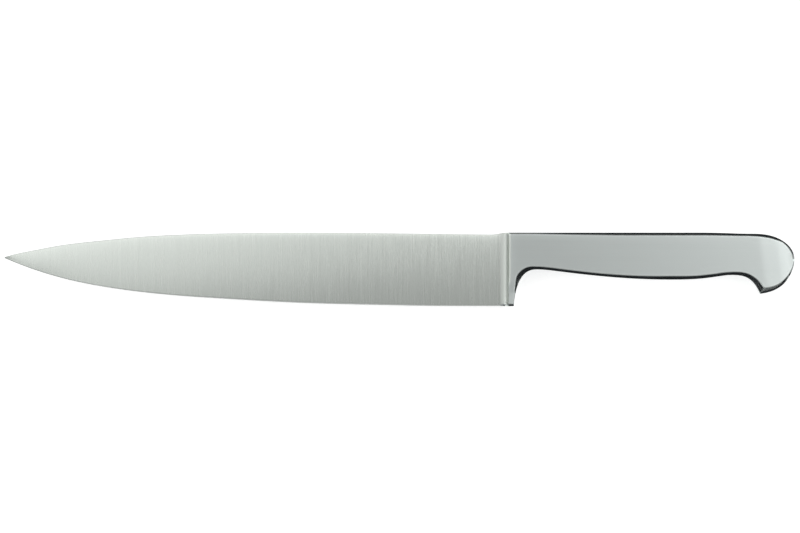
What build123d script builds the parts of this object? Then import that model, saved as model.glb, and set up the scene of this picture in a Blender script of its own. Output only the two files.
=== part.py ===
from build123d import *
import os

os.makedirs("parts", exist_ok=True)

# A carving knife lying on its right side, so that its left side faces up.
# X runs from the point of the blade to the pommel, the back faces +Y and the cutting edge -Y.
# The origin is the middle of the knife's footprint, on the surface that the knife lies on.
# Depths are measured down from the straight back of the handle, towards the cutting edge.

# Blade
blade_length = 210.0          # from the point to the front of the bolster
blade_height = 30.6           # from the line of the back to the cutting edge at the heel
spine_thickness = 2.6         # at the bolster
point_thickness = 0.6         # of the spine at the point
edge_strip_height = 0.9       # width of the sharpened strip along the edge
edge_strip_thickness = 0.45   # of the blade where that strip begins

# Handle, seen from the side
handle_length = 119.0         # from the front of the bolster to the end of the pommel
pommel_length = 39.0          # of the back that curves down to the end of the pommel
crown_depth = 11.0            # depth at which the pommel reaches furthest back
beak_setback = 14.2           # from the end of the pommel forward to the tip of its hook
beak_depth = 25.5             # of that tip
waist_setback = 26.5          # from the end of the pommel forward to the waist
waist_depth = 17.6
belly_setback = 51.7          # from the end of the pommel forward to the belly
belly_depth = 19.5
notch_length = 13.5           # of solid bolster, back to the top of the finger notch
notch_depth = 15.5
heel_length = 2.2             # of the bolster at the cutting edge

# Handle, seen from above and in section
handle_thickness = 15.6
side_fall_length = 19.0       # of the sides that falls in, up to the end of the pommel
pommel_drop = 1.3             # by which each side falls in over that length
rim_bevel = 1.1               # polished bevel round each side
front_edge_radius = 0.5       # along the front of the bolster
bolster_fillet = 4.2          # hollow from the blade's sides to the front of the bolster

# Inside of the handle
shell_wall = 1.5
weld_depth = 0.9
weld_width = 1.4
tang_length = 44.0            # behind the solid bolster
tang_height = 9.0
tang_thickness = 4.0
tang_hole_radius = 2.0
tang_hole_setback = 10.0      # from the end of the tang to the middle of its hole

overrun = 5.0                 # by which cutting blocks pass what they cut

# Stations of the blade: share of its length from the point, and the shares of its height
# at which the back and the cutting edge lie there
blade_station_shares = [
    (0.000, 0.333, 0.344),
    (0.016, 0.304, 0.389),
    (0.048, 0.253, 0.474),
    (0.111, 0.173, 0.613),
    (0.190, 0.109, 0.729),
    (0.270, 0.057, 0.807),
    (0.349, 0.027, 0.860),
    (0.429, 0.011, 0.897),
    (0.587, 0.000, 0.956),
    (0.745, 0.007, 0.985),
    (0.825, 0.014, 0.996),
    (0.905, 0.021, 1.000),
    (0.955, 0.025, 1.000),
    (1.000, 0.027, 1.000),
]
shoulder_share = 0.5          # most of the blade's height that the sharpened strip takes

# In-between points of each curve of the handle: shares of the way along and of the way
# across from the curve's first end to its last
pommel_top_shares = [(0.300, 0.020), (0.500, 0.040), (0.685, 0.068), (0.867, 0.290), (0.977, 0.664)]
pommel_underside_shares = [(0.092, 0.389), (0.334, 0.722), (0.690, 0.931)]
hook_shares = [(0.092, 0.329), (0.248, 0.650), (0.512, 0.910)]
waist_shares = [(0.175, 0.232), (0.496, 0.779)]
belly_shares = [(0.383, 0.188), (0.693, 0.575), (0.851, 0.825)]
finger_shares = [(0.502, 0.072), (0.735, 0.212), (0.888, 0.485), (0.947, 0.679)]
pommel_side_shares = [(0.526, 0.215)]
hook_slope_share = 0.16       # rise over run of the pommel's underside at the tip of the hook
beak_slope_share = 2.4        # the same of the hook's inner face
beak_inset_shares = (0.63, 1.08)  # how far an inset moves the tip of the hook back and up
side_slope_share = 0.18       # slope of the sides at the end of the pommel

# Places that follow from the sizes
point_x = -(blade_length + handle_length) / 2
front_x = point_x + blade_length
end_x = front_x + handle_length
joint_x = front_x + notch_length
top_y = blade_height / 2
edge_y = top_y - blade_height
mid_z = handle_thickness / 2


def curve(first, last, shares, first_direction, last_direction):
    # A smooth curve from first to last by way of points given as shares of the way between them
    step_x = last[0] - first[0]
    step_y = last[1] - first[1]
    between = [(first[0] + step_x * along, first[1] + step_y * across) for along, across in shares]
    return Spline(first, *between, last, tangents=[first_direction, last_direction])


def handle_side_view(inset):
    # Outline of the handle drawn in by the inset, clockwise from the top of the bolster's front.
    # Drawn in, it leaves out the heel, which is solid steel
    front_top = (front_x, top_y - inset)
    back_end = (end_x - pommel_length, top_y - inset)
    crown = (end_x - inset, top_y - crown_depth)
    beak_x = end_x - beak_setback + inset * beak_inset_shares[0]
    beak = (beak_x, top_y - beak_depth + inset * beak_inset_shares[1])
    waist = (end_x - waist_setback, top_y - waist_depth + inset)
    belly = (end_x - belly_setback, top_y - belly_depth + inset)
    notch = (joint_x, top_y - notch_depth + inset)
    forward = (-1, 0)
    down = (0, -1)
    edges = [
        Line(front_top, back_end),
        curve(back_end, crown, pommel_top_shares, (1, 0), down),
        curve(crown, beak, pommel_underside_shares, down, (-1, -hook_slope_share)),
        curve(beak, waist, hook_shares, (-1, beak_slope_share), forward),
        curve(waist, belly, waist_shares, forward, forward),
        curve(belly, notch, belly_shares, forward, forward),
    ]
    if inset:
        front_bottom = (front_x, top_y - notch_depth + inset)
        edges += [Line(notch, front_bottom)]
    else:
        heel = (front_x + heel_length, edge_y)
        front_bottom = (front_x, edge_y)
        edges += [curve(notch, heel, finger_shares, forward, down), Line(heel, front_bottom)]
    return make_face(edges + [Line(front_bottom, front_top)])


def handle_plan_view(inset):
    # Seen from above: parallel sides that fall in towards the end of the pommel
    half = handle_thickness / 2 - inset
    side_end = (end_x - side_fall_length, half)
    pommel_end = (end_x, half - pommel_drop)
    inwards = (1, -side_slope_share)
    left = [
        Line((front_x - overrun, half), side_end),
        curve(side_end, pommel_end, pommel_side_shares, (1, 0), inwards),
        Line(pommel_end, (end_x + overrun, half - pommel_drop)),
    ]
    right = [mirror(edge, Plane.XZ) for edge in left]
    ends = [
        Line((front_x - overrun, half), (front_x - overrun, -half)),
        Line((end_x + overrun, half - pommel_drop), (end_x + overrun, pommel_drop - half)),
    ]
    return make_face(left + right + ends)


def handle_body(inset):
    # Bolster and handle as one block, drawn in by the inset on every side
    side_block = extrude(handle_side_view(inset), amount=handle_thickness, both=True)
    plan_block = extrude(Plane.XZ * handle_plan_view(inset), amount=blade_height, both=True)
    return Pos(0, 0, mid_z) * (side_block & plan_block)


def slab_along(first_x, last_x):
    # Everything between two places along the knife
    size = handle_thickness + blade_height
    return Pos((first_x + last_x) / 2, 0, mid_z) * Box(last_x - first_x, size, size)


def bevelled_handle():
    # Bolster and handle with the bevel round both sides and a softened front
    body = handle_body(0)
    least_height = handle_thickness / 2 - pommel_drop - rim_bevel / 2
    rim = body.edges().filter_by(lambda edge: abs(edge.center().Z - mid_z) > least_height)
    crosswise = rim.filter_by(Axis.Y)
    body = chamfer([edge for edge in rim if edge not in crosswise], rim_bevel)
    front_face = body.faces().sort_by(Axis.X)[0]
    front_edges = front_face.edges().filter_by(Axis.Y)
    return fillet(front_edges, front_edge_radius)


def blade_section(length_share, back_share, edge_share):
    # Wedge across the blade with its sharpened strip at the cutting edge
    half_spine = (point_thickness + (spine_thickness - point_thickness) * length_share) / 2
    back = top_y - blade_height * back_share
    edge = top_y - blade_height * edge_share
    strip = min(edge_strip_height, (back - edge) * shoulder_share)
    half_strip = min(edge_strip_thickness / 2, half_spine)
    outline = Polyline(
        (back, half_spine),
        (edge + strip, half_strip),
        (edge, 0),
        (edge + strip, -half_strip),
        (back, -half_spine),
        close=True,
    )
    station_x = point_x + blade_length * length_share
    plane = Plane(origin=(station_x, 0, mid_z), x_dir=(0, 1, 0), z_dir=(1, 0, 0))
    return plane * make_face(outline)


def blade_wedge():
    # The blade as one smooth body through its stations, from the point to the bolster
    sections = [blade_section(*shares) for shares in blade_station_shares]
    return loft(sections)


def hollow_section(y, half_root):
    # Section along the knife that widens from the blade's root by a hollow arc on either side
    root_x = front_x - bolster_fillet
    half_crest = half_root + bolster_fillet
    edges = [
        Line((root_x, -half_root), (root_x, half_root)),
        RadiusArc((root_x, half_root), (front_x, half_crest), -bolster_fillet),
        Line((front_x, half_crest), (front_x, -half_crest)),
        RadiusArc((front_x, -half_crest), (root_x, -half_root), -bolster_fillet),
    ]
    plane = Plane(origin=(0, y, mid_z), x_dir=(1, 0, 0), z_dir=(0, -1, 0))
    return plane * make_face(edges)


def bolster_hollow():
    # Hollow fillets that lead from the blade's sides to the front of the bolster
    root_x = front_x - bolster_fillet
    last_back_share = blade_station_shares[-1][1]
    side_view = Polyline(
        (root_x, top_y - blade_height * last_back_share),
        (front_x, top_y),
        (front_x, edge_y),
        (root_x, edge_y),
        close=True,
    )
    side_block = extrude(make_face(side_view), amount=handle_thickness)
    sections = [
        hollow_section(top_y, spine_thickness / 2),
        hollow_section(edge_y, edge_strip_thickness / 2),
    ]
    return side_block & loft(sections, ruled=True)


def tang():
    # Stub tang behind the solid bolster, with a hole that keys it into the filling
    middle_y = top_y - notch_depth / 2
    bar = Pos(joint_x + tang_length / 2, middle_y, mid_z) * Box(tang_length, tang_height, tang_thickness)
    hole_x = joint_x + tang_length - tang_hole_setback
    hole = Pos(hole_x, middle_y, mid_z) * Cylinder(tang_hole_radius, tang_thickness + overrun)
    return bar - hole


# Welds fill grooves in the outer skin of the handle and are ground flush
whole_handle = bevelled_handle()
skin = whole_handle - handle_body(weld_depth)
bolster_weld = skin & slab_along(joint_x - weld_width / 2, joint_x + weld_width / 2)
seam_start_x = joint_x + weld_width / 2
seam_layer = Pos(0, 0, mid_z) * Box(2 * end_x, 2 * blade_height, weld_width)
handle_seam_weld = skin & slab_along(seam_start_x, end_x + overrun) & seam_layer

# The filling takes up the cavity behind the solid bolster, all round the tang
cavity = handle_body(shell_wall) & slab_along(joint_x, end_x)
handle_core = cavity - tang()

# Blade, full bolster and stub tang are one forging
solid_bolster = whole_handle & slab_along(front_x - overrun, joint_x)
blade = blade_wedge() + bolster_hollow() + solid_bolster - bolster_weld + tang()

# The pressed shells meet at the middle of the handle
shells = whole_handle & slab_along(joint_x, end_x + overrun)
shells = shells - cavity - bolster_weld - handle_seam_weld
middle_plane = Plane.XY.offset(mid_z)
shell_halves = split(shells, bisect_by=middle_plane, keep=Keep.BOTH).solids().sort_by(Axis.Z)
right_handle_shell = shell_halves[0]
left_handle_shell = shell_halves[-1]

pieces = {
    "blade": blade,
    "left_handle_shell": left_handle_shell,
    "right_handle_shell": right_handle_shell,
    "bolster_weld": bolster_weld,
    "handle_seam_weld": handle_seam_weld,
    "handle_core": handle_core,
}
for name, piece in pieces.items():
    piece.label = name
    export_step(piece, f"parts/{name}.step")
    print(name, len(piece.solids()), "solid, volume", round(piece.volume, 1))
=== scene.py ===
import math

import bmesh
import bpy
import numpy as np
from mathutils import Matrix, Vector
from mathutils.geometry import delaunay_2d_cdt


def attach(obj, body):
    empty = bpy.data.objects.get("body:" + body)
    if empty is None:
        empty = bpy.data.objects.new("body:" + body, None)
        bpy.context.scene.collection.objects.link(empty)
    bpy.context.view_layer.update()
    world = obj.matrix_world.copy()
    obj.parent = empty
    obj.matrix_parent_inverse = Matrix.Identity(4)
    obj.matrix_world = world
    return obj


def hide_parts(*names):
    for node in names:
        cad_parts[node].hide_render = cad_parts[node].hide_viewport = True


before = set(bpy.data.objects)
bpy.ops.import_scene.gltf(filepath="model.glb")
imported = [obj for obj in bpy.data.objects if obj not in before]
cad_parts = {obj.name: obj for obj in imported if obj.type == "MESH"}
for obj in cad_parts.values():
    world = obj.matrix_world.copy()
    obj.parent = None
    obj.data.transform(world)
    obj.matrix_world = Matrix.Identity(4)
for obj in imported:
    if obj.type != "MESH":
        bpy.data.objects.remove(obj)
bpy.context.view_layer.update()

mm = 0.001  # shapes below are written in millimetres, heights measured from the middle of the knife

# Knife as a whole
knife = {
    "pointX": -164.5,
    "frontX": 45.5,  # front of the bolster
    "endX": 164.5,
    "backY": 15.3,
    "edgeY": -15.3,
    "halfThickness": 7.8,
}


def mix(first, last, share):
    return first + (last - first) * share


def smoothStep(low, high, value):
    share = min(1.0, max(0.0, (value - low) / (high - low)))
    return share * share * (3 - 2 * share)


def runningLength(line):
    # length of the line up to each of its points
    return np.concatenate(([0.0], np.cumsum(np.linalg.norm(np.diff(line, axis=0), axis=1))))


def lengthShares(line):
    length = runningLength(line)
    return length / length[-1]


def resample(line, count):
    # the same line with points evenly spaced along it
    length = runningLength(line)
    places = np.linspace(0, length[-1], count)
    return np.stack([np.interp(places, length, line[:, k]) for k in range(2)], axis=1)


def splineThrough(points, firstWay, lastWay, count):
    # cubic spline through the points with both end directions given, evenly sampled by length
    samples = 40  # from each point to the next
    pts = np.array(points, float)
    spans, knots = np.diff(pts, axis=0), runningLength(pts)
    steps = np.linalg.norm(spans, axis=1)
    ends = [np.array(way, float) / np.linalg.norm(way) for way in (firstWay, lastWay)]
    slopes = np.vstack([ends[0], spans / steps[:, None], ends[1]])
    matrix = np.diag(2 * (np.append(steps, 0) + np.append(0, steps))) + np.diag(steps, 1) + np.diag(steps, -1)
    bend = np.linalg.solve(matrix, 6 * np.diff(slopes, axis=0))
    line = []
    for u in np.linspace(0, knots[-1], samples * len(steps) + 1):
        i = min(len(steps), int(np.searchsorted(knots, u, side="right"))) - 1
        a, b, h = knots[i + 1] - u, u - knots[i], steps[i]
        line.append(
            bend[i] * a ** 3 / (6 * h) + bend[i + 1] * b ** 3 / (6 * h)
            + (pts[i] / h - bend[i] * h / 6) * a + (pts[i + 1] / h - bend[i + 1] * h / 6) * b
        )
    return resample(np.array(line), count)


def waysAlong(line):
    # directions along the line at each of its points, and square to it on its right
    way = np.gradient(line, axis=0)
    way /= np.linalg.norm(way, axis=1)[:, None]
    return way, np.stack([way[:, 1], -way[:, 0]], axis=1)


def crossOf(a, b):
    return a[0] * b[1] - a[1] * b[0]


# Handle seen from its left side: the places that its outline passes, and the polished bevel
# round its flat, whose width changes along the outline
handle = {
    "straightEnd": (125.5, 15.3),
    "crown": (164.5, 4.3),
    "beak": (150.3, -10.2),
    "beakInside": (152.05, -7.5),
    "waist": (138.0, -2.37),
    "belly": (112.8, -4.27),
    "notch": (57.2, -0.03),
    "heel": (47.7, -15.3),
    "heelInside": (47.45, -14.4),
    "flatFrontX": 46.4,
    "straightPoints": 45,
    "bolsterWeldX": (58.3, 59.7),
    "seamHalfWidth": 0.7,
    "shellWall": 1.5,
    "weldDepth": 0.9,
    "softEdge": 0.11,  # rounding where the bevel meets the flat
    "softWall": 0.015,  # rounding where it meets the wall
    "softShares": (0.16, 0.1, 0.22),  # most of the bevel that these two take, and most of a chamfer
    "bevelSlope": 0.88,  # of the outer part of the bevel, which is slightly rounded
    "innerSlope": 0.76,
    "steepSlope": 0.91,  # where it faces the blade or the hook
    "outerShare": 0.5,
    "blendShare": 0.25,  # half of the bevel's part over which its two slopes blend
    "underInnerSlope": 0.69,  # two distinct facets under the pommel
    "underOuterShare": 0.34,
    "underBlendShare": 0.04,
    "underSatinShare": 0.56,  # share of the way under the pommel from which the inner facet is satin
    "endSlope": 0.32,  # the bevel nearly runs out at the end of the pommel
    "pommelFall": (149.0, 12.0, 0.14),  # a place where the side starts to fall, and how that line leans
    "pommelCrease": 2.6,  # length over which the side bends
    "pommelSlope": 0.034,
    "pommelRound": (7.4, 0.036, 0.001),  # where the end starts to round off, and how its slope grows
    "heelFacet": 3.3,  # degrees
    "heelRidge": (46.17, -9.41, 0.285),  # upper end of the facet's edge, and how it leans
    "heelSquare": 0.96,  # distance square to that edge for each millimetre along x
    "heelFade": (0.7, -0.5),  # heights over its upper end between which the facet sets in
    "heelBackX": 52.0,  # the facet ends in the finger notch before this
}
# first and last place of each stretch of the outline, the places between them as shares of the way
# in x and in y, the directions at both ends, and the number of points
stretches = {
    "pommelTop": (
        "straightEnd", "crown",
        [(0.3, 0.02), (0.5, 0.04), (0.685, 0.068), (0.867, 0.29), (0.974, 0.664)],
        (1, 0), (0, -1), 70,
    ),
    "under": (
        "crown", "beak", [(0.092, 0.389), (0.168, 0.529), (0.33, 0.727), (0.69, 0.931)],
        (0, -1), (-1, -0.16), 60,
    ),
    "hook": ("beak", "waist", [(0.105, 0.329), (0.26, 0.65), (0.516, 0.91)], (-1, 2.4), (-1, 0), 50),
    "waist": ("waist", "belly", [(0.175, 0.232), (0.496, 0.779)], (-1, 0), (-1, 0), 24),
    "belly": (
        "belly", "notch", [(0.371, 0.179), (0.67, 0.548), (0.824, 0.79), (0.926, 0.948)],
        (-1, 0), (-1, 0), 44,
    ),
    "finger": (
        "notch", "heel",
        [(0.27, 0.024), (0.519, 0.115), (0.741, 0.302), (0.864, 0.491), (0.939, 0.683)],
        (-1, 0), (0, -1), 60,
    ),
}
# bevel width in mm by share of the way along each stretch
bevelWidths = {
    "back": [
        (0.0, 0.38), (0.08, 0.43), (0.14, 0.62), (0.21, 0.8), (0.27, 0.92), (0.37, 1.08),
        (0.7, 1.12), (0.8, 0.95), (0.86, 1.22), (0.9, 1.05), (0.925, 0.62), (1.0, 0.6),
    ],
    "under": [
        (0.0, 0.58), (0.06, 0.38), (0.2, 0.38), (0.26, 0.46), (0.33, 0.62),
        (0.4, 0.84), (0.45, 0.98), (0.65, 1.42), (0.8, 1.85), (1.0, 2.39),
    ],
    "hook": [(0.0, 2.6), (0.2, 2.25), (0.4, 1.8), (0.6, 1.54), (0.8, 1.34), (1.0, 1.24)],
    "waist": [(0.0, 1.24), (0.5, 1.34), (1.0, 1.48)],
    "belly": [(0.0, 1.48), (0.25, 1.26), (0.5, 1.13), (0.8, 1.14), (1.0, 1.22)],
    "finger": [
        (0.03, 1.25), (0.14, 1.63), (0.26, 1.96), (0.36, 2.05), (0.42, 1.92), (0.48, 1.55),
        (0.55, 1.05), (0.645, 0.68), (0.715, 0.36), (0.76, 0.12), (0.79, 0.05),
    ],
}


def sideHeight(x, y):
    # height of the handle's left side over the middle of the knife
    drop = 0.0
    fallX, fallY, fallLean = handle["pommelFall"]
    along = x - fallX - fallLean * (fallY - y)
    if along > 0:
        crease = handle["pommelCrease"]
        drop += handle["pommelSlope"] * (min(along, crease) ** 2 / (2 * crease) + max(0.0, along - crease))
        roundStart, growth, faster = handle["pommelRound"]
        past = max(0.0, along - roundStart)
        drop += growth / 2 * past ** 2 + faster / 3 * past ** 3
    ridgeX, ridgeY, ridgeLean = handle["heelRidge"]
    beyond = (x - ridgeX) - ridgeLean * (y - ridgeY)  # behind the facet's edge
    fadeTop, fadeLow = (ridgeY + fade for fade in handle["heelFade"])
    if beyond > 0 and x < handle["heelBackX"] and y < fadeTop:
        facetSlope = math.tan(math.radians(handle["heelFacet"]))
        drop += handle["heelSquare"] * beyond * facetSlope * smoothStep(fadeTop, fadeLow, y)
    return knife["halfThickness"] - drop


def stretchLine(name):
    first, last, shares, firstWay, lastWay, count = stretches[name]
    start, stop = handle[first], handle[last]
    places = [(mix(start[0], stop[0], a), mix(start[1], stop[1], b)) for a, b in shares]
    line = splineThrough([start] + places + [stop], firstWay, lastWay, count)
    return np.minimum(line, (knife["endX"], knife["backY"]))


def insetLine(line, widths, firstCorner=None, lastCorner=None):
    # flat's edge inside the outline, perpendicular to it, ending at a mitre where the outline has a corner
    way, inward = waysAlong(line)
    inner = line + inward * widths[:, None]
    if firstCorner is None and lastCorner is None:
        return inner
    keep = list(inner)
    for corner, end in ((firstCorner, 0), (lastCorner, -1)):
        if corner is None:
            continue
        mitre = np.array(corner) - line[end]
        side = crossOf(mitre, way[end]) * (1 if end == 0 else -1)
        keep = [p for p in keep if crossOf(mitre, p - line[end]) * side > 0]
        keep = [np.array(corner)] + keep if end == 0 else keep + [np.array(corner)]
    return resample(np.array(keep), len(line))


rimKeys = ("outer", "inner", "width", "bevelSlope", "innerSlope", "outerShare", "blendShare")


def makeRim(line, widths, firstCorner=None, lastCorner=None, **courses):
    # outline of one stretch, the edge of the flat inside it, and how the bevel between them falls;
    # a course gives one of the handle's values by share of the way, where it changes along it
    shares = lengthShares(line)
    width = np.interp(shares, *zip(*widths)) + handle["softEdge"]
    rim = {"outer": line, "inner": insetLine(line, width, firstCorner, lastCorner), "width": width}
    for key in rimKeys[3:]:
        rim[key] = np.interp(shares, *zip(*courses.get(key, [(0, handle[key])])))
    return rim


def joinRims(rims):
    return {key: np.concatenate([rims[0][key]] + [rim[key][1:] for rim in rims[1:]]) for key in rimKeys}


def cutRim(rim, x):
    # two rims, up to and from the place where the outline crosses x
    across = rim["outer"][:, 0] - x
    i = next(k for k in range(len(across) - 1) if across[k] * across[k + 1] <= 0)
    share = across[i] / (across[i] - across[i + 1])
    at = {key: mix(value[i], value[i + 1], share) for key, value in rim.items()}
    at["outer"][0] = at["inner"][0] = x
    first = {key: np.concatenate([value[:i + 1], [at[key]]]) for key, value in rim.items()}
    last = {key: np.concatenate([[at[key]], value[i + 1:]]) for key, value in rim.items()}
    return first, last


def rimRow(outer, inner, width, slope, innerSlope, outerShare, blendShare):
    # points across the bevel, from the flat to the top of the wall
    soft = min(handle["softEdge"], handle["softShares"][0] * width)
    softWall = min(handle["softWall"], handle["softShares"][1] * width)
    split = outerShare * width
    above = min(split + blendShare * width, (width - 2 * soft + split) / 2)
    below = max(split - blendShare * width, (split + 2 * softWall) / 2)
    insets = [width + 2 * soft, width + soft, width - soft, width - 2 * soft]
    insets += [above, below, 2 * softWall, softWall, 0.0]
    flatEdge = sideHeight(*inner)
    row = []
    for inset in insets:
        x, y = mix(outer, inner, inset / width)
        if inset > width:
            row.append((x, y, sideHeight(x, y)))
            continue
        drop = innerSlope * (width - max(inset, split)) + slope * max(0.0, split - inset)
        if inset == 0.0:
            drop += softWall
        row.append((x, y, flatEdge - drop))
    return row


def rimGrid(rim):
    return [rimRow(*values) for values in zip(*(rim[key] for key in rimKeys))]


wallSteps = (0.05, 0.5, 1.0)  # shares of the way down a wall


def withWall(grid, lowest):
    # the bevel's points and the wall below it
    return [row + [(*row[-1][:2], mix(row[-1][2], lowest, step)) for step in wallSteps] for row in grid]


def lineDistance(points, line):
    # distance of each point from a line of short straights
    a, b = line[:-1], line[1:]
    span = b - a
    offset = points[:, None] - a[None]
    share = np.clip((offset * span).sum(axis=2) / np.maximum(1e-12, (span * span).sum(axis=1)), 0, 1)
    return np.linalg.norm(offset - share[:, :, None] * span, axis=2).min(axis=1)


# Points within the flats: rows along their edges, where the edge wear and painted highlights show, and grids
# where they aren't flat
flats = {
    "rowInsets": (0.45, 1.0, 2.0, 3.6),
    "rowSteps": (1, 1, 2, 3),  # a row takes every place along the edge, every second or every third
    "spacing": 0.9,
    "rowShare": 0.95,  # of its inset that a row's point keeps from every edge
    "gridGaps": (0.4, 0.3),  # that a grid's points keep from the edges and from the rows
    "pommelGrid": ((146.5, 164.0, 0.8), (-8.0, 15.0, 0.9)),  # first, last and spacing in x and in y
    "heelGrid": ((46.9, 48.4, 0.3), (-13.6, -7.9, 0.4)),
}


def insidePoints(loop, spans):
    # rows inside a flat's edge, which runs clockwise, and a grid over part of it
    line = np.array([p[:2] for p in loop] + [loop[0][:2]])
    dense = resample(line, int(runningLength(line)[-1] / flats["spacing"]))
    inward = waysAlong(dense)[1]
    points = []
    for inset, step in zip(flats["rowInsets"], flats["rowSteps"]):
        row = (dense + inward * inset)[::step]
        gaps = lineDistance(row, line)
        points += [tuple(p) for p, gap in zip(row, gaps) if gap > flats["rowShare"] * inset]
    grid = np.array([(x, y) for x in np.arange(*spans[0]) for y in np.arange(*spans[1])])
    crossings = np.zeros(len(grid))  # of the edge, to the right of each place
    for a, b in zip(line[:-1], line[1:]):
        crosses = (a[1] > grid[:, 1]) != (b[1] > grid[:, 1])
        at = a[0] + (grid[:, 1] - a[1]) / (b[1] - a[1] if b[1] != a[1] else 1) * (b[0] - a[0])
        crossings += crosses & (grid[:, 0] < at)
    rows = np.array(points)
    edgeGap, rowGap = flats["gridGaps"]
    for p, gap, crossed in zip(grid, lineDistance(grid, line), crossings):
        if crossed % 2 and gap > edgeGap and np.linalg.norm(rows - p, axis=1).min() > rowGap:
            points.append(tuple(p))
    return points


def acrossFlat(first, last):
    # points of the flat between two places at the same x, where neighbouring pieces meet
    x, insets = first[0], flats["rowInsets"]
    way = 1 if last[1] > first[1] else -1
    places = [first[1] + way * inset for inset in insets] + [last[1] - way * inset for inset in insets[::-1]]
    return [(x, y, sideHeight(x, y)) for y in places]


# Edges lightened in colour, partly as wear and partly as painted highlight: how much, how far in it fades,
# and where along the knife it shows
wearAndHighlight = {
    "edge": 0.9, "edgeWidth": 0.33,
    "back": 0.65, "backWidth": 1.6, "backFading": [(85, 1.4), (105, 1.0), (135, 1.0), (155, 0.4)],
    "front": 0.75, "frontWidth": 1.4, "frontFading": (-6.0, -4.5), "frontReach": 0.2,
    "spine": 2.6, "spineWidth": 0.9, "spineFading": [(-160, 0.1), (-125, 0.2), (-45, 1.0)],
}


def paintWearAndHighlights(piece):
    # how much each point's colour is lightened, as edge wear and painted highlight: near the edges of the
    # flats, further in under the back and behind the bolster's front, and along the blade's spine
    coords = np.array([vert.co[:2] for vert in piece.data.vertices]) / mm

    def wearAndHighlightBy(name, distance):
        return wearAndHighlight[name] * np.exp(-distance / wearAndHighlight[name + "Width"])

    flatEdge = np.concatenate([backRim["inner"], underRim["inner"], bottomRim["inner"]])
    values = wearAndHighlightBy("edge", lineDistance(coords, flatEdge))
    underBack = wearAndHighlightBy("back", lineDistance(coords, backRim["inner"]))
    values += np.interp(coords[:, 0], *zip(*wearAndHighlight["backFading"])) * underBack
    upper = np.interp(coords[:, 1], wearAndHighlight["frontFading"], (0.0, 1.0))
    behind = coords[:, 0] - handle["flatFrontX"]
    values += np.where(behind > -wearAndHighlight["frontReach"], upper * wearAndHighlightBy("front", np.abs(behind)), 0.0)
    spine = wearAndHighlightBy("spine", lineDistance(coords, bladeBackLine[::10]))
    spine *= np.interp(coords[:, 0], *zip(*wearAndHighlight["spineFading"]))
    values = np.where(coords[:, 0] > hollowRootX, values, spine)
    layer = piece.data.attributes.new("wearAndHighlight", "FLOAT", "POINT")
    layer.data.foreach_set("value", values.astype(np.float32))


# How shapes become meshes
meshing = {
    "mergeDistance": 2e-6,  # m
    "tinyEdge": 1e-7,  # m
    "flatAccuracy": 1e-5,  # mm
    "sharpAngle": math.radians(35),
}


def loopEdges(first, count):
    return [(first + k, first + (k + 1) % count) for k in range(count)]


def fillFlat(places, edges, loopLength):
    # triangles between the places, inside the loop that comes first among them
    loops = [list(range(loopLength))]
    verts, _, faces, sources, _, _ = delaunay_2d_cdt(places, edges, loops, 1, meshing["flatAccuracy"])
    return verts, faces, sources


class Shape:
    # points and faces of one piece, in millimetres, before they become a mesh
    def __init__(self):
        self.points = []
        self.faces = []
        self.finishes = []

    def add(self, points, faces, names):
        first = len(self.points)
        self.points += [tuple(p) for p in points]
        self.faces += [tuple(first + k for k in face) for face in faces]
        self.finishes += names

    def addGrid(self, grid, names):
        # rows of points, with the finish of each column of faces between them
        columns = len(grid[0])
        corners = [i * columns + k for i in range(len(grid) - 1) for k in range(columns - 1)]
        faces = [(n, n + 1, n + 1 + columns, n + columns) for n in corners]
        self.add([p for row in grid for p in row], faces, names * (len(grid) - 1))

    def addPatch(self, loop, finish, inside):
        # side surface inside a closed loop of points, with more points inside it
        places = [Vector((p[0], p[1])) for p in loop] + [Vector(p) for p in inside]
        verts, faces, sources = fillFlat(places, loopEdges(0, len(loop)), len(loop))
        points = []
        for vert, source in zip(verts, sources):
            known = [s for s in source if s < len(loop)]
            points.append(loop[known[0]] if known else (vert[0], vert[1], sideHeight(vert[0], vert[1])))
        self.add(points, faces, [finish] * len(faces))


def addObject(name, data):
    made = bpy.data.objects.new(name, data)
    bpy.context.scene.collection.objects.link(made)
    return made


def makePiece(name, shape, finishNames, mirrored=False, fillHoles=False, faceUp=0):
    # mirrored adds the right side; faceUp is the side, 1 or -1, to which an open sheet's faces point
    mesh = bpy.data.meshes.new(name)
    shaped = bmesh.new()
    middle = knife["halfThickness"]
    for flip in ((1, -1) if mirrored else (1,)):
        verts = [shaped.verts.new((p[0] * mm, p[1] * mm, (middle + flip * p[2]) * mm)) for p in shape.points]
        for face, finish in zip(shape.faces, shape.finishes):
            corners = [verts[k] for k in face]
            if len(set(corners)) < 3:
                continue
            made = shaped.faces.new(corners if flip == 1 else corners[::-1])
            made.material_index = finishNames.index(finish)
            made.smooth = True
    bmesh.ops.remove_doubles(shaped, verts=shaped.verts, dist=meshing["mergeDistance"])
    bmesh.ops.dissolve_degenerate(shaped, edges=shaped.edges, dist=meshing["tinyEdge"])
    if fillHoles:
        rims = [edge for edge in shaped.edges if edge.is_boundary]
        for face in bmesh.ops.holes_fill(shaped, edges=rims, sides=0)["faces"]:
            face.smooth = False
    bmesh.ops.recalc_face_normals(shaped, faces=shaped.faces)
    if faceUp:
        upward = sum(face.normal.z * face.calc_area() for face in shaped.faces)
        if upward * faceUp < 0:
            bmesh.ops.reverse_faces(shaped, faces=shaped.faces)
    shaped.to_mesh(mesh)
    shaped.free()
    mesh.set_sharp_from_angle(angle=meshing["sharpAngle"])
    piece = addObject(name, mesh)
    for finish in finishNames:
        mesh.materials.append(finishes[finish])
    return piece


def applyModifiers(piece):
    # modifiers become plain mesh
    plain = bpy.data.meshes.new_from_object(piece.evaluated_get(bpy.context.evaluated_depsgraph_get()))
    piece.modifiers.clear()
    plain.set_sharp_from_angle(angle=meshing["sharpAngle"])
    old = piece.data
    piece.data = plain
    bpy.data.meshes.remove(old)


def place(piece, node):
    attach(piece, "root")
    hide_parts(node)


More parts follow.
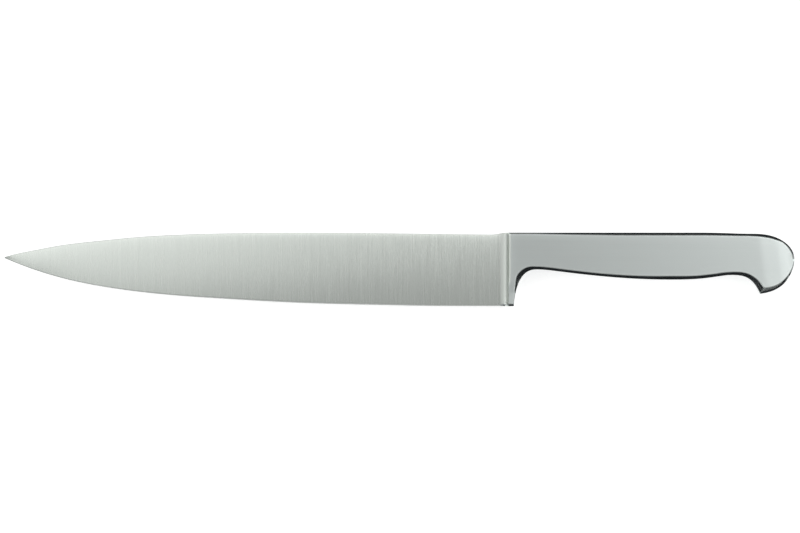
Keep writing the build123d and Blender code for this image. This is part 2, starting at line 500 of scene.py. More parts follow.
# Materials
def hexToLinear(code):
    parts = [int(code[k:k + 2], 16) / 255 for k in (1, 3, 5)]
    return tuple(c / 12.92 if c <= 0.04045 else ((c + 0.055) / 1.055) ** 2.4 for c in parts) + (1.0,)


def addNode(tree, kind, settings=None, links=None):
    # settings: socket or property to value, links: socket to an output, or to a node for its first one
    node = tree.nodes.new(kind)
    for name, value in (settings or {}).items():
        if isinstance(name, int) or name in node.inputs:
            node.inputs[name].default_value = value
        else:
            setattr(node, name, value)
    for name, source in (links or {}).items():
        tree.links.new(getattr(source, "outputs", [source])[0], node.inputs[name])
    return node


def makeMaterial(name, build, *values):
    # build adds the nodes and gives the last of them
    material = bpy.data.materials.new(name)
    material.use_nodes = True
    tree = material.node_tree
    tree.nodes.clear()
    addNode(tree, "ShaderNodeOutputMaterial", {}, {"Surface": build(tree, *values)})
    return material


def rangeAround(value, change):
    # settings that turn a noise texture, mostly between 0.3 and 0.7, into a range round the value
    return {"From Min": 0.3, "From Max": 0.7, "To Min": value * (1 - change), "To Max": value * (1 + change)}


steel = {
    "blade": "#C1C6C1",
    "handle": "#C0C6C4",
    "edge": "#E4E8E5",
    "bandSize": 6,  # scratches to the width of a broader band among them
    "scratchShare": 0.7,  # of the change in tone, the rest comes from the bands
    "bandShare": 0.3,
    # how much the colour is lightened near the edges and along the spine: edge wear and painted highlights
    "wearAndHighlightGain": 0.16,
    "relief": 0.1,
    "reliefDepth": 0.02,  # mm
    "brushedChange": 0.1,  # part by which the roughness changes
    "polishedChange": 0.2,
    "polishedContrast": 0.03,
    "hairline": (3.0, 3.0, 0.3),  # mm
}


def brushedSteel(tree, colour, grainSize, across, roughness, spread, contrast):
    # stainless steel ground on a belt: fine parallel scratches that widen its highlights across them.
    # Real ones are some hundredths of a millimetre wide; these are as coarse as they need to be to show
    coords = addNode(tree, "ShaderNodeTexCoord").outputs["Object"]
    scales = [tuple(1000 / (size * s) for s in grainSize) for size in (1, steel["bandSize"])]
    fine, broad = (addNode(tree, "ShaderNodeMapping", {"Scale": scale}, {0: coords}) for scale in scales)
    uneven = {"Scale": 1.0, "Detail": 3.0, "Roughness": 0.6}
    scratches = addNode(tree, "ShaderNodeTexNoise", uneven, {"Vector": fine})
    bands = addNode(tree, "ShaderNodeTexNoise", {"Scale": 1.0, "Detail": 2.0}, {"Vector": broad})
    bandPart = addNode(tree, "ShaderNodeMath", {"operation": "MULTIPLY", 1: steel["bandShare"]}, {0: bands})
    share = {"operation": "MULTIPLY_ADD", 1: steel["scratchShare"]}
    both = addNode(tree, "ShaderNodeMath", share, {0: scratches, 2: bandPart})
    tone = addNode(tree, "ShaderNodeMapRange", rangeAround(1, contrast), {"Value": both})
    # colour lightened near the edges and along the spine: partly edge wear, partly painted highlight
    wornAndLit = addNode(tree, "ShaderNodeAttribute", {"attribute_name": "wearAndHighlight"}).outputs["Fac"]
    gain = {"operation": "MULTIPLY_ADD", 1: steel["wearAndHighlightGain"]}
    brighter = addNode(tree, "ShaderNodeMath", gain, {0: wornAndLit, 2: tone})
    base = {"operation": "SCALE", 0: hexToLinear(colour)[:3]}
    toned = addNode(tree, "ShaderNodeVectorMath", base, {"Scale": brighter})
    change = rangeAround(roughness, steel["brushedChange"])
    rough = addNode(tree, "ShaderNodeMapRange", change, {"Value": scratches})
    relief = {"Strength": steel["relief"], "Distance": steel["reliefDepth"] * mm}
    bump = addNode(tree, "ShaderNodeBump", relief, {"Height": scratches})
    way = addNode(tree, "ShaderNodeCombineXYZ", {"X": across[0], "Y": across[1], "Z": 0.0})
    return addNode(
        tree, "ShaderNodeBsdfPrincipled", {"Metallic": 1.0, "Anisotropic": spread},
        {"Base Color": toned, "Roughness": rough, "Normal": bump, "Tangent": way},
    )


def polishedSteel(tree, colour, roughness):
    # stainless steel polished on a soft wheel: mirrors its surroundings, with faint hairlines left
    coords = addNode(tree, "ShaderNodeTexCoord").outputs["Object"]
    scale = tuple(1000 / size for size in steel["hairline"])
    fine = addNode(tree, "ShaderNodeMapping", {"Scale": scale}, {"Vector": coords})
    noise = addNode(tree, "ShaderNodeTexNoise", {"Scale": 1.0, "Detail": 3.0}, {"Vector": fine})
    hairlines = {"Value": noise}
    rough = addNode(tree, "ShaderNodeMapRange", rangeAround(roughness, steel["polishedChange"]), hairlines)
    tone = addNode(tree, "ShaderNodeMapRange", rangeAround(1, steel["polishedContrast"]), hairlines)
    base = {"operation": "SCALE", 0: hexToLinear(colour)[:3]}
    toned = addNode(tree, "ShaderNodeVectorMath", base, {"Scale": tone})
    wired = {"Base Color": toned, "Roughness": rough}
    return addNode(tree, "ShaderNodeBsdfPrincipled", {"Metallic": 1.0}, wired)


cement = {"dark": "#9C9990", "light": "#B8B5AC", "grain": 0.8, "relief": 0.4, "reliefDepth": 0.2}


def castCement(tree):
    # cement cast into the handle: dull, grainy and slightly mottled
    coords = addNode(tree, "ShaderNodeTexCoord").outputs["Object"]
    scale = 1000 / cement["grain"]
    grain = addNode(tree, "ShaderNodeTexNoise", {"Scale": scale, "Detail": 4.0}, {"Vector": coords})
    colours = {"data_type": "RGBA", 6: hexToLinear(cement["dark"]), 7: hexToLinear(cement["light"])}
    colour = addNode(tree, "ShaderNodeMix", colours, {0: grain}).outputs[2]
    relief = {"Strength": cement["relief"], "Distance": cement["reliefDepth"] * mm}
    bump = addNode(tree, "ShaderNodeBump", relief, {"Height": grain})
    wired = {"Base Color": colour, "Normal": bump}
    return addNode(tree, "ShaderNodeBsdfPrincipled", {"Roughness": 0.9}, wired)


# colour, size of a scratch in mm along each axis, direction across it, roughness, how far the highlights
# spread, and contrast. The blade is ground across its length and the handle along it; a small
# wheel leaves the hollow dull, and the walls are only rubbed down
brushedFinishes = {
    "bladeSatin": (steel["blade"], (0.28, 15.0, 15.0), (1.0, 0.0), 0.256, 0.67, 0.055),
    "handleSatin": (steel["handle"], (40.0, 0.35, 0.35), (0.0, 1.0), 0.365, 0.58, 0.02),
    "filletSatin": (steel["blade"], (0.35, 12.0, 12.0), (1.0, 0.0), 0.46, 0.0, 0.03),
    "wallSatin": (steel["handle"], (40.0, 40.0, 0.3), (0.0, 0.0), 0.26, 0.0, 0.03),
}
finishes = {
    name: makeMaterial(name + "Steel", brushedSteel, *values) for name, values in brushedFinishes.items()
}
finishes["polished"] = makeMaterial("polishedSteel", polishedSteel, steel["handle"], 0.12)
finishes["honed"] = makeMaterial("honedEdgeSteel", polishedSteel, steel["edge"], 0.25)
finishes["cement"] = makeMaterial("castCement", castCement)
rimFinish = ["handleSatin"] + ["polished"] * 7  # across the bevel, from the flat
wallFinish = ["wallSatin"] * len(wallSteps)
print("materials made")

# Outline of the handle, clockwise from the front of the bolster
straightX = np.linspace(handle["flatFrontX"], handle["straightEnd"][0], handle["straightPoints"])
straightX = np.unique(np.concatenate([straightX, handle["bolsterWeldX"]]))
backStraight = np.stack([straightX, np.full(len(straightX), knife["backY"])], axis=1)
backLine = np.concatenate([backStraight, stretchLine("pommelTop")[1:]])
outerSlope, innerSlope, steepSlope, endSlope = (
    handle[name] for name in ("bevelSlope", "innerSlope", "steepSlope", "endSlope")
)
backRim = makeRim(
    backLine, bevelWidths["back"],
    bevelSlope=[(0.978, outerSlope), (1.0, endSlope)],
    innerSlope=[(0.978, innerSlope), (1.0, endSlope)],
)
underRim = makeRim(
    stretchLine("under"), bevelWidths["under"], lastCorner=handle["beakInside"],
    bevelSlope=[(0.18, endSlope), (0.33, outerSlope)],
    innerSlope=[(0.18, endSlope), (0.33, innerSlope), (0.5, innerSlope), (0.75, handle["underInnerSlope"])],
    outerShare=[(0.5, handle["outerShare"]), (0.75, handle["underOuterShare"])],
    blendShare=[(0.5, handle["blendShare"]), (0.75, handle["underBlendShare"])],
)
hookRim = makeRim(
    stretchLine("hook"), bevelWidths["hook"], firstCorner=handle["beakInside"],
    bevelSlope=[(0.5, steepSlope), (1.0, outerSlope)],
    innerSlope=[(0.5, steepSlope), (1.0, innerSlope)],
)
waistRim, bellyRim = (makeRim(stretchLine(name), bevelWidths[name]) for name in ("waist", "belly"))
fingerRim = makeRim(
    stretchLine("finger"), bevelWidths["finger"], lastCorner=handle["heelInside"],
    bevelSlope=[(0.1, outerSlope), (0.35, steepSlope)],
    innerSlope=[(0.1, innerSlope), (0.35, steepSlope)],
)
bottomRim = joinRims([hookRim, waistRim, bellyRim, fingerRim])
weldFrontX, weldEndX = handle["bolsterWeldX"]
bolsterBack, restBack = cutRim(backRim, weldFrontX)
weldBack, shellBack = cutRim(restBack, weldEndX)
shellBottom, restBottom = cutRim(bottomRim, weldEndX)
weldBottom, bolsterBottom = cutRim(restBottom, weldFrontX)
print("outline laid out")

# Blade, bolster and tang: one forging
blade = {
    "linePoints": 1500,
    "spineThickness": 2.6,
    "pointThickness": 0.6,
    "spineSoft": (0.18, 0.8, 0.3),  # rounding of the spine's edges, most of half its thickness and height
    "grindCrown": (0.2, 1.5),  # by which the ground sides bulge halfway down, and power of the thickness
    "spineRound": (0.21, 2.0),  # extra bulge close to the spine, and the depth over which it grows
    "bulgePart": (0.3, 0.1),  # of the bulge at the point, and share of the length by which it is whole
    "stripThickness": 0.45,
    "stripHeight": (0.6, 0.5),  # of the sharpened strip, and the most of the blade's height that it takes
    "stripPart": (0.45, 0.15, 0.7),  # of its size near the point, and where along the blade it grows
    "hollowLength": 3.62,
    "hollowShape": (0.82, 8),  # even part of its turn, and power by which the rest comes at the end
    "mergePower": 4,  # of the tilt, by which the blade's edges turn into the bolster's bevels
    "topRise": (38.4, 44.6),  # where the back of the blade rises to that of the handle
    "topFlare": (0.25, 1.6, 0.3),  # by which the hollow stands out at the back, its depth, and tilt for all
    "lowChamfer": (0.8, 0.05, 0.3),  # under the hollow, and over which tilts it takes the strip's place
    "lowSteepness": 0.9,  # squared, of that chamfer and the hollow together
    "heelChamfer": 0.92,
    "frontRadius": (handle["flatFrontX"] - knife["frontX"], 0.05),  # of the bolster's front, above and low
    "frontRadiusY": (-5.8, -4.6),
    "sideRows": (28, 1.5),  # and power by which they crowd under the spine
    "sections": (150, 1.15),  # up to the hollow, and power by which they crowd at the point
    "hollowSections": (20, 1.6),
    "hollowSteps": 4000,  # by which the hollow's height is summed up
    "frontSections": 12,
}
# share of the blade's length from the point, shares of its height at which back and edge lie
bladeOutlineShares = [
    (0.0, 0.331, 0.348), (0.016, 0.3, 0.3935), (0.048, 0.253, 0.478), (0.111, 0.173, 0.613),
    (0.19, 0.109, 0.729), (0.27, 0.057, 0.807), (0.349, 0.027, 0.86), (0.429, 0.011, 0.897),
    (0.587, 0.0, 0.956), (0.745, 0.007, 0.985), (0.825, 0.014, 0.996), (0.905, 0.021, 1.0),
    (0.955, 0.025, 1.0), (1.0, 0.027, 1.0),
]
# part of the bulge of the ground sides by share of the blade's length from the point
crownParts = [(0.2, 1.0), (0.4, 1.15), (0.6, 1.15), (0.78, 1.4), (0.87, 1.4), (1.0, 1.0)]
frontX = knife["frontX"]
bladeLength = frontX - knife["pointX"]
hollowRootX = frontX - blade["hollowLength"]


def bladeLine(column):
    # back or edge of the blade as a spline over its length
    shares = np.array(bladeOutlineShares)
    x = knife["pointX"] + bladeLength * shares[:, 0]
    y = knife["backY"] - (knife["backY"] - knife["edgeY"]) * shares[:, column]
    points = np.stack([x, y], axis=1)
    return splineThrough(points, points[1] - points[0], points[-1] - points[-2], blade["linePoints"])


bladeBackLine, bladeEdgeLine = bladeLine(1), bladeLine(2)


def sectionAt(x, rise=0.0, tilt=0.0, flatHeight=None, front=1.0):
    # half section of the forging at x, from the middle of its back round to the middle of its edge.
    # In the hollow its sides are lifted by rise, and tilt is the sine of their tilt. On the bolster
    # flatHeight gives the height of its side, and front is how far its front face has climbed to it
    share = (x - knife["pointX"]) / bladeLength
    merge = 1.0 if flatHeight else tilt ** blade["mergePower"]  # from blade to bolster
    top = float(np.interp(min(x, hollowRootX), bladeBackLine[:, 0], bladeBackLine[:, 1]))
    top = mix(top, knife["backY"], smoothStep(*blade["topRise"], x))
    low = max(knife["edgeY"], float(np.interp(min(x, frontX), bladeEdgeLine[:, 0], bladeEdgeLine[:, 1])))
    halfSpine = mix(blade["pointThickness"], blade["spineThickness"], min(share, 1.0)) / 2
    stripPart = mix(blade["stripPart"][0], 1, smoothStep(*blade["stripPart"][1:], share))
    bulgePart = mix(blade["bulgePart"][0], 1, smoothStep(0.0, blade["bulgePart"][1], share))
    crown, power = blade["grindCrown"]
    crown = crown * float(np.interp(share, *zip(*crownParts))) * min(1.0, halfSpine) ** power * bulgePart
    rounding, roundDepth = blade["spineRound"]
    rounding *= min(1.0, 2 * halfSpine) * bulgePart
    halfSpine -= blade["stripThickness"] / 2 * (1 - stripPart)
    strip = min(blade["stripHeight"][0] * stripPart, (top - low) * blade["stripHeight"][1])
    halfStrip = min(blade["stripThickness"] / 2 * stripPart, halfSpine)
    softTop, ofThickness, ofHeight = blade["spineSoft"]
    backBevel, heelBevel = bevelWidths["back"][0][1] + handle["softEdge"], blade["heelChamfer"]
    softTop = mix(min(softTop, ofThickness * halfSpine, ofHeight * (top - low)), backBevel, merge)
    flare, flareDepth, wholeTilt = blade["topFlare"]
    flare = flare * smoothStep(0.0, wholeTilt, tilt) * (1 - merge)

    def height(y):
        v = (top - y) / max(1e-6, top - low - strip)
        bulge = crown * 4 * v * (1 - v) + rounding * (1 - math.exp(-(top - y) / roundDepth) - v)
        ground = mix(halfSpine, halfStrip, v) + max(0.0, bulge) + rise
        ground += flare * math.exp(-(top - y) / flareDepth)
        if flatHeight is None:
            return ground
        bevel = handle["bevelSlope"] * max(0.0, backBevel - (top - y), heelBevel - (y - low))
        return min(mix(ground, flatHeight(y), front), knife["halfThickness"] - bevel)

    soft = min(handle["softEdge"], handle["softShares"][0] * softTop)
    topInsets = [0.0, soft, 2 * soft, 0.38 * softTop]  # the fourth lies on the bend of the rounding
    topInsets += [softTop - 2 * soft, softTop - soft, softTop + soft, softTop + 2 * soft]
    rounded = []
    for inset in topInsets:
        z = height(top - inset)
        if inset <= softTop and not flatHeight:
            away = 1 - inset / softTop
            quarterRound = softTop * (1 - math.sqrt(max(0.0, 1 - away * away)))
            bevel = handle["bevelSlope"] * (softTop - inset)
            z = max(0.02, height(top - softTop) - mix(quarterRound, bevel, merge))
        rounded.append((x, top - inset, z))
    points = [(x, top, mix(rounded[0][2], 0.0, step)) for step in wallSteps[::-1]] + rounded

    chamfer, startTilt, wholeTilt = blade["lowChamfer"]
    chamfer = heelBevel if flatHeight else mix(strip, chamfer, smoothStep(startTilt, wholeTilt, tilt))
    softLow = min(handle["softEdge"], handle["softShares"][2] * chamfer)
    lowInsets = [chamfer + 2 * softLow, chamfer + softLow, chamfer - softLow, chamfer - 2 * softLow]
    lowInsets += [0.5 * chamfer, 2 * softLow, softLow, 0.0]
    rows, crowding = blade["sideRows"]
    for k in range(1, rows):
        y = mix(rounded[-1][1], low + lowInsets[0], (k / rows) ** crowding)
        points.append((x, y, height(y)))
    lowHeight = height(low + chamfer)
    edgeHeight = 0.0
    if flatHeight:
        edgeHeight = min(height(low), lowHeight)
    elif rise:
        left = blade["lowSteepness"] - tilt ** 2 / max(1e-6, 1 - tilt ** 2)
        edgeHeight = max(0.0, lowHeight - math.sqrt(max(0.0, left)) * chamfer)
    for inset in lowInsets:
        onSide = inset > chamfer or flatHeight
        z = height(low + inset) if onSide else edgeHeight + (lowHeight - edgeHeight) * inset / chamfer
        points.append((x, low + inset, z))
    return points + [(x, low, mix(edgeHeight, 0.0, step)) for step in wallSteps]


def frontHeight(x):
    # height of the bolster's side at x, by y, with its rounded front edge
    def height(y):
        radius = mix(*blade["frontRadius"], 1 - smoothStep(*blade["frontRadiusY"], y))
        short = max(0.0, radius - (x - frontX))
        return sideHeight(x, y) - radius + math.sqrt(radius ** 2 - short ** 2)

    return height


count, crowding = blade["sections"]
groundX = knife["pointX"] + (hollowRootX - knife["pointX"]) * np.linspace(0, 1, count) ** crowding
stations = [sectionAt(x) for x in groundX]
even, power = blade["hollowShape"]
count, crowding = blade["hollowSections"]
along = 1 - (1 - np.linspace(0, 1, count)) ** crowding
fine = np.linspace(0, 1, blade["hollowSteps"] + 1)
middles = (fine[1:] + fine[:-1]) / 2
tilts = even * middles + (1 - even) * middles ** power
climbs = np.cumsum(tilts / np.sqrt(1 - tilts ** 2)) / len(tilts)
climbed = np.concatenate(([0.0], climbs)) * blade["hollowLength"]
rises = np.interp(along, fine, climbed)
for share, rise in zip(along[1:], rises[1:]):
    tilt = even * share + (1 - even) * share ** power
    stations.append(sectionAt(hollowRootX + blade["hollowLength"] * share, rise, tilt))
bladeEnd, hollowEnd = len(groundX), len(stations)
for share in (0.5, 1.0):
    stations.append(sectionAt(frontX, rises[-1], flatHeight=frontHeight(frontX), front=share))
for turn in np.linspace(0, math.pi / 2, blade["frontSections"] + 1)[1:]:
    x = frontX + blade["frontRadius"][0] * (1 - math.cos(turn))
    stations.append(sectionAt(x, rises[-1], flatHeight=frontHeight(x)))
print("blade's sections", len(stations), "of points", len(stations[0]))

columns = len(stations[0]) - 1
topFinish = wallFinish + ["polished"] * 6
lowFinish = ["polished"] * 7 + wallFinish
sideFinish = ["bladeSatin"] * (columns - 8) + ["honed"] * 8
hollowFinish = ["filletSatin"] * (columns - len(lowFinish)) + lowFinish
frontFinish = topFinish + ["filletSatin"] * (columns - len(topFinish) - len(lowFinish)) + lowFinish
frontFinish = [  # low down the bolster is flat right up to its front
    "handleSatin" if name == "filletSatin" and p[1] < blade["frontRadiusY"][1] else name
    for name, p in zip(frontFinish, stations[-1])
]
bladeShape = Shape()
bladeShape.addGrid(stations[:bladeEnd + 1], sideFinish)  # the blade's grinding runs into the hollow
bladeShape.addGrid(stations[bladeEnd:hollowEnd], hollowFinish)
bladeShape.addGrid(stations[hollowEnd - 1:], frontFinish)

flatX, heelTop, heelCount = handle["flatFrontX"], knife["edgeY"] + blade["heelChamfer"], 5
heelRim = {key: np.full(heelCount, handle[key]) for key in rimKeys[3:]}
heelRim["innerSlope"] = heelRim["bevelSlope"]
heelRim["outer"] = np.linspace(handle["heel"], (flatX, knife["edgeY"]), heelCount)
heelRim["inner"] = np.linspace(handle["heelInside"], (flatX, heelTop), heelCount)
heelRim["width"] = np.full(heelCount, blade["heelChamfer"])
topGrid, lowGrid, heelGrid = (rimGrid(rim) for rim in (bolsterBack, bolsterBottom, heelRim))
for grid in (topGrid, lowGrid, heelGrid):
    bladeShape.addGrid(withWall(grid, 0.0), rimFinish + wallFinish)
patchLoop = [row[0] for row in topGrid] + acrossFlat(topGrid[-1][0], lowGrid[0][0])
patchLoop += [row[0] for row in lowGrid + heelGrid[1:]]
clear = 0.05  # points of the front nearer to a corner of the flat are left out
frontColumn = [p for p in stations[-1] if heelGrid[-1][0][1] + clear < p[1] < topGrid[0][0][1] - clear]
patchLoop += frontColumn[::-1]
bladeShape.addPatch(patchLoop, "handleSatin", insidePoints(patchLoop, flats["heelGrid"]))

# stub tang with the hole that keys it into the filling, from the middle up; its other half is mirrored
tang = {
    "startX": 58.0, "endX": 103.0, "middleY": 7.55, "height": 9.0, "thickness": 4.0, "chamfer": 0.3,
    "holeRadius": 2.0, "holeSetback": 10.0, "holeCorners": 32,
}
tangMiddle = np.array([(tang["startX"] + tang["endX"]) / 2, tang["middleY"]])
tangHalf = np.array([(tang["endX"] - tang["startX"]) / 2, tang["height"] / 2])
tangTop = tang["thickness"] / 2
holeX = tang["endX"] - tang["holeSetback"]


def tangLoop(inset, z):
    corners = np.array([(-1, -1), (1, -1), (1, 1), (-1, 1)])
    return [(x, y, z) for x, y in tangMiddle + corners * (tangHalf - inset)]


def holeLoop(grow, z):
    radius = tang["holeRadius"] + grow
    turns = np.linspace(0, 2 * math.pi, tang["holeCorners"] + 1)[:-1]
    return [(holeX + radius * math.cos(turn), tang["middleY"] + radius * math.sin(turn), z) for turn in turns]


rims = []
for makeLoop in (tangLoop, holeLoop):
    loops = [makeLoop(tang["chamfer"], tangTop), makeLoop(0.0, tangTop - tang["chamfer"]), makeLoop(0.0, 0.0)]
    bladeShape.addGrid([loop + loop[:1] for loop in loops], ["wallSatin"] * len(loops[0]))
    rims.append(loops[0])
tangRim, holeRim = rims
edges = loopEdges(0, len(tangRim)) + loopEdges(len(tangRim), len(holeRim))
verts, faces, _ = fillFlat([Vector(p[:2]) for p in tangRim + holeRim], edges, len(tangRim))
holeMiddle = Vector((holeX, tang["middleY"]))
holeReach = tang["holeRadius"] + 0.96 * tang["chamfer"]  # a face whose middle is nearer lies in the hole
faceMiddles = [sum((verts[v] for v in face), Vector((0, 0))) / 3 for face in faces]
solid = [face for face, middle in zip(faces, faceMiddles) if (middle - holeMiddle).length > holeReach]
bladeShape.add([(v[0], v[1], tangTop) for v in verts], solid, ["wallSatin"] * len(solid))
bladeFinishes = ["bladeSatin", "honed", "filletSatin", "handleSatin", "polished", "wallSatin"]
forging = makePiece("bladeForging", bladeShape, bladeFinishes, mirrored=True, fillHoles=True)
paintWearAndHighlights(forging)
place(forging, "blade")
print("blade made", len(forging.data.polygons))

# Handle shells: pressed steel, one for each side
shellShape = Shape()
flatLoop = []
for rim in (shellBack, underRim, shellBottom):
    grid = rimGrid(rim)
    walled = withWall(grid, handle["seamHalfWidth"])
    satinFrom = len(grid)
    if rim is underRim:
        satinFrom = int(np.searchsorted(lengthShares(rim["outer"]), handle["underSatinShare"]))
    shellShape.addGrid(walled[:satinFrom + 1], rimFinish + wallFinish)
    if rim is underRim:
        shellShape.addGrid(walled[satinFrom:], rimFinish[:2] + ["wallSatin"] * 2 + rimFinish[4:] + wallFinish)
    flatLoop += [row[0] for row in grid[:-1]]
flatLoop.append(grid[-1][0])
flatLoop += acrossFlat(flatLoop[-1], flatLoop[0])
shellShape.addPatch(flatLoop, "handleSatin", insidePoints(flatLoop, flats["pommelGrid"]))
handleFinishes = ["handleSatin", "polished", "wallSatin"]
for side, node in ((1, "left_handle_shell"), (-1, "right_handle_shell")):
    oneSide = Shape()
    oneSide.add([(p[0], p[1], side * p[2]) for p in shellShape.points], shellShape.faces, shellShape.finishes)
    shell = makePiece(node.replace("handle_shell", "shell"), oneSide, handleFinishes, faceUp=side)
    wall = shell.modifiers.new("pressedWall", "SOLIDIFY")
    wall.thickness = handle["shellWall"] * mm
    wall.offset = -1.0
    wall.use_rim = True
    applyModifiers(shell)
    paintWearAndHighlights(shell)
    place(shell, node)
print("handle shells made")


# Weld round the handle behind the bolster
def ringSection(end):
    # section of the handle at the weld's front (0) or back (-1)
    top = withWall(rimGrid(weldBack), 0.0)[end][::-1]
    low = withWall(rimGrid(weldBottom), 0.0)[-1 - end]
    half = top + acrossFlat(top[-1], low[0]) + low
    return half + [(p[0], p[1], -p[2]) for p in half[-2:0:-1]]


ringOuter = [ringSection(end) for end in (0, -1)]
ringInner = []
for section in ringOuter:
    ys = [p[1] for p in section]
    midY, halfY = (max(ys) + min(ys)) / 2, (max(ys) - min(ys)) / 2
    shrinkY = 1 - handle["weldDepth"] / halfY
    shrinkZ = 1 - handle["weldDepth"] / knife["halfThickness"]
    ringInner.append([(p[0], midY + (p[1] - midY) * shrinkY, p[2] * shrinkZ) for p in section])
ringLoops = [ringOuter[0], ringOuter[1], ringInner[1], ringInner[0], ringOuter[0]]
quarterFinish = wallFinish + rimFinish[::-1]
halfFinish = quarterFinish + ["handleSatin"] * (2 * len(flats["rowInsets"]) + 1) + quarterFinish[::-1]
ringShape = Shape()
ringShape.addGrid([loop + loop[:1] for loop in ringLoops], halfFinish + halfFinish[::-1])
ringWeld = makePiece("bolsterRingWeld", ringShape, handleFinishes)
paintWearAndHighlights(ringWeld)
place(ringWeld, "bolster_weld")
print("ring weld made")

# Weld along the seam of the shells: a strip that follows the outline
seam = {"width": 2 * handle["seamHalfWidth"], "depth": handle["weldDepth"]}
seamLine = np.concatenate([shellBack["outer"], underRim["outer"][1:], shellBottom["outer"][1:]])


def buildSeamTree():
    tree = bpy.data.node_groups.new("seamWeld", "GeometryNodeTree")
    inputs = {"Geometry": "Geometry", "Weld Width": "Float", "Weld Depth": "Float", "Finish": "Material"}
    for name, kind in inputs.items():
        tree.interface.new_socket(name, in_out="INPUT", socket_type="NodeSocket" + kind)
    tree.interface.new_socket("Geometry", in_out="OUTPUT", socket_type="NodeSocketGeometry")
    given = addNode(tree, "NodeGroupInput").outputs
    path = addNode(tree, "GeometryNodeMeshToCurve", {}, {"Mesh": given["Geometry"]})
    level = addNode(tree, "GeometryNodeSetCurveNormal", {"mode": "Z_UP"}, {"Curve": path})
    section = addNode(
        tree, "GeometryNodeCurvePrimitiveQuadrilateral", {},
        {"Width": given["Weld Depth"], "Height": given["Weld Width"]},
    )
    inward = addNode(tree, "ShaderNodeMath", {"operation": "MULTIPLY", 1: 0.5}, {0: given["Weld Depth"]})
    shift = addNode(tree, "ShaderNodeCombineXYZ", {}, {"X": inward})
    moved = addNode(tree, "GeometryNodeTransform", {}, {"Geometry": section, "Translation": shift})
    swept = addNode(
        tree, "GeometryNodeCurveToMesh", {"Fill Caps": True},
        {"Curve": level, "Profile Curve": moved},
    )
    real = addNode(tree, "GeometryNodeRealizeInstances", {}, {"Geometry": swept})
    dressed = addNode(tree, "GeometryNodeSetMaterial", {}, {"Geometry": real, "Material": given["Finish"]})
    addNode(tree, "NodeGroupOutput", {}, {"Geometry": dressed})
    return tree


seamMesh = bpy.data.meshes.new("seamPath")
seamMesh.from_pydata(
    [(x * mm, y * mm, knife["halfThickness"] * mm) for x, y in seamLine],
    [(k, k + 1) for k in range(len(seamLine) - 1)], [],
)
seamWeld = addObject("handleSeamWeld", seamMesh)
seamMaker = seamWeld.modifiers.new("seamWeld", "NODES")
seamMaker.node_group = buildSeamTree()
seamValues = {"Weld Width": seam["width"] * mm, "Weld Depth": seam["depth"] * mm}
seamValues["Finish"] = finishes["wallSatin"]
for item in seamMaker.node_group.interface.items_tree:
    if item.in_out == "INPUT" and item.name in seamValues:
        seamMaker[item.identifier] = seamValues[item.name]
applyModifiers(seamWeld)
place(seamWeld, "handle_seam_weld")
print("seam weld made")

# Filling inside the shells
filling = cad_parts["handle_core"]
filling.data.materials.clear()
filling.data.materials.append(finishes["cement"])

# Floor, light and camera
floor = {"size": 12.0, "colour": "#E6E6E6", "glow": 0.6}


def paleFloor(tree):
    # pale and matt, and glows a little where it is seen, so that it comes out white
    diffuse = addNode(tree, "ShaderNodeBsdfDiffuse", {"Color": hexToLinear(floor["colour"])})
    rays = addNode(tree, "ShaderNodeLightPath").outputs
    seen = rays["Is Camera Ray"]
    for ray in ("Is Glossy Ray", "Is Transmission Ray"):
        seen = addNode(tree, "ShaderNodeMath", {"operation": "MAXIMUM"}, {0: seen, 1: rays[ray]})
    glowing = addNode(tree, "ShaderNodeMath", {"operation": "MULTIPLY", 1: floor["glow"]}, {0: seen})
    glow = addNode(tree, "ShaderNodeEmission", {"Color": (1, 1, 1, 1)}, {"Strength": glowing})
    return addNode(tree, "ShaderNodeAddShader", {}, {0: diffuse, 1: glow})


def makeCard(name, size, centre, turn, material):
    mesh = bpy.data.meshes.new(name)
    w, h = size[0] / 2, size[1] / 2
    mesh.from_pydata([(-w, -h, 0), (w, -h, 0), (w, h, 0), (-w, h, 0)], [], [(0, 1, 2, 3)])
    card = addObject(name, mesh)
    card.location = centre
    card.rotation_euler = turn
    mesh.materials.append(material)
    return card


makeCard("floor", (floor["size"], floor["size"]), (0, 0, 0), (0, 0, 0), makeMaterial("paleFloor", paleFloor))

# dark cards out of sight of the camera, for the dark bevels
cards = {"distance": 1.0, "length": 2.4, "colour": "#34373A"}
cardPlaces = {  # direction, turn and height of each
    "backCard": (0, 1, 0, 0.3),
    "frontCard": (0, -1, 0, 0.4),
    "endCard": (1, 0, 90, 0.3),
    "pointCard": (-1, 0, 90, 0.3),
}


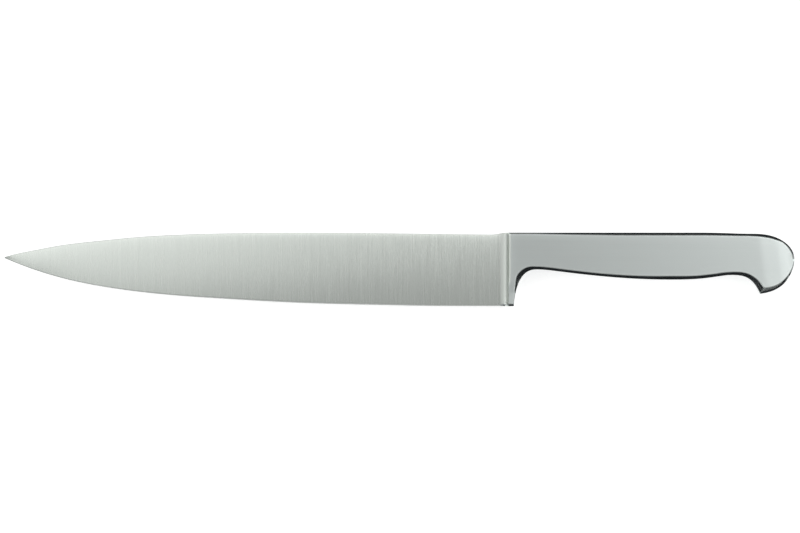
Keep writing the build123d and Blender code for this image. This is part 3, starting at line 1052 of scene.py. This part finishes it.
def blackCard(tree):
    return addNode(tree, "ShaderNodeBsdfDiffuse", {"Color": hexToLinear(cards["colour"])})


cardMaterial = makeMaterial("blackCard", blackCard)
for name, (x, y, turn, height) in cardPlaces.items():
    centre = (x * cards["distance"], y * cards["distance"], height / 2)
    upright = (math.radians(90), 0, math.radians(turn))
    card = makeCard(name, (cards["length"], height), centre, upright, cardMaterial)
    card.visible_camera = False

lamps = {
    "bladeBox": {"centre": (-0.723, 0.096, 0.75), "turn": 0, "size": (1.314, 0.326), "power": 1.415},
    "pommelBox": {"centre": (0.452, 0.217, 0.75), "turn": 0, "size": (0.580, 0.505), "power": 1.70},
    "sideBox": {"centre": (-1.0, 0.0, 0.522), "turn": -90, "size": (0.444, 2.4), "power": 4.9},
}
for name, lamp in lamps.items():
    light = bpy.data.lights.new(name, "AREA")
    light.shape = "RECTANGLE"
    light.size, light.size_y = lamp["size"]
    light.energy = lamp["power"]
    holder = addObject(name, light)
    holder.location = lamp["centre"]
    holder.rotation_euler = (0, math.radians(lamp["turn"]), 0)

world = bpy.data.worlds.new("softStudio")
bpy.context.scene.world = world
world.use_nodes = True
world.node_tree.nodes.clear()
sky = addNode(world.node_tree, "ShaderNodeBackground", {"Color": (1, 1, 1, 1), "Strength": 0.533})
addNode(world.node_tree, "ShaderNodeOutputWorld", {}, {"Surface": sky})

# straight down on the left side, from far enough that the sides don't show
camera = {
    "height": 4.5,  # m
    "centre": (0.3, 1.2),
    "pixel": 210 / 504,  # mm at planeHeight
    "planeHeight": 10.0,
    "pixelsAcross": 800,
    "sensor": 36,
    "clipEnd": 50,  # m
}
lens = bpy.data.cameras.new("camera")
lens.sensor_width = camera["sensor"]
distance = camera["height"] - camera["planeHeight"] * mm
lens.lens = camera["sensor"] * distance / (camera["pixelsAcross"] * camera["pixel"] * mm)
lens.clip_end = camera["clipEnd"]
cameraHolder = addObject("camera", lens)
cameraHolder.location = (camera["centre"][0] * mm, camera["centre"][1] * mm, camera["height"])
bpy.context.scene.camera = cameraHolder
bpy.context.scene.view_settings.view_transform = "Standard"
print("scene lit")
